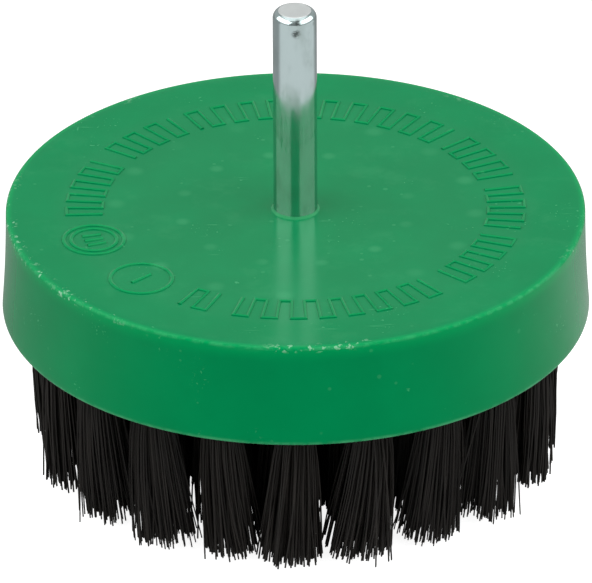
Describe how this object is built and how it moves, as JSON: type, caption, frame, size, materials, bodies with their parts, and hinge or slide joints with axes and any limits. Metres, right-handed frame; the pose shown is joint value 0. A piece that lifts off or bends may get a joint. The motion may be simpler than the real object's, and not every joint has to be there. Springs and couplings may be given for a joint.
{
  "type": "wheel brush",
  "caption": "Round, flat-faced wheel-cleaning brush for a power drill: green moulded disc, plain steel shank in its middle, and rings of black nylon tufts underneath.",
  "frame": {"origin": "on the spindle's axis, level with the tips of the tufts that the brush stands on: the bottom centre of the bounding box", "axes": "+Z along the spindle, from the bristle tips towards the shank's free end; +X and +Y lie across the disc, and one tuft of the outer ring stands on -Y"},
  "size_m": [0.08, 0.08, 0.0677],
  "materials": {
    "block_plastic": "green moulded polypropylene, glossy, lightly scuffed",
    "spindle_steel": "steel with bright, slightly blue zinc plating",
    "bristle_nylon": "black nylon filament with a soft sheen"
  },
  "bodies": {
    "root": {"brush_block": "block_plastic", "spindle": "spindle_steel", "tuft_outer_01": "bristle_nylon", "tuft_outer_02": "bristle_nylon", "tuft_outer_03": "bristle_nylon", "tuft_outer_04": "bristle_nylon", "tuft_outer_05": "bristle_nylon", "tuft_outer_06": "bristle_nylon", "tuft_outer_07": "bristle_nylon", "tuft_outer_08": "bristle_nylon", "tuft_outer_09": "bristle_nylon", "tuft_outer_10": "bristle_nylon", "tuft_outer_11": "bristle_nylon", "tuft_outer_12": "bristle_nylon", "tuft_outer_13": "bristle_nylon", "tuft_outer_14": "bristle_nylon", "tuft_outer_15": "bristle_nylon", "tuft_outer_16": "bristle_nylon", "tuft_outer_17": "bristle_nylon", "tuft_outer_18": "bristle_nylon", "tuft_outer_19": "bristle_nylon", "tuft_outer_20": "bristle_nylon", "tuft_middle_01": "bristle_nylon", "tuft_middle_02": "bristle_nylon", "tuft_middle_03": "bristle_nylon", "tuft_middle_04": "bristle_nylon", "tuft_middle_05": "bristle_nylon", "tuft_middle_06": "bristle_nylon", "tuft_middle_07": "bristle_nylon", "tuft_middle_08": "bristle_nylon", "tuft_middle_09": "bristle_nylon", "tuft_middle_10": "bristle_nylon", "tuft_middle_11": "bristle_nylon", "tuft_middle_12": "bristle_nylon", "tuft_middle_13": "bristle_nylon", "tuft_middle_14": "bristle_nylon", "tuft_middle_15": "bristle_nylon", "tuft_middle_16": "bristle_nylon", "tuft_inner_01": "bristle_nylon", "tuft_inner_02": "bristle_nylon", "tuft_inner_03": "bristle_nylon", "tuft_inner_04": "bristle_nylon", "tuft_inner_05": "bristle_nylon", "tuft_inner_06": "bristle_nylon", "tuft_inner_07": "bristle_nylon", "tuft_inner_08": "bristle_nylon", "tuft_inner_09": "bristle_nylon", "tuft_inner_10": "bristle_nylon", "tuft_inner_11": "bristle_nylon", "tuft_inner_12": "bristle_nylon"}
  },
  "joints": []
}
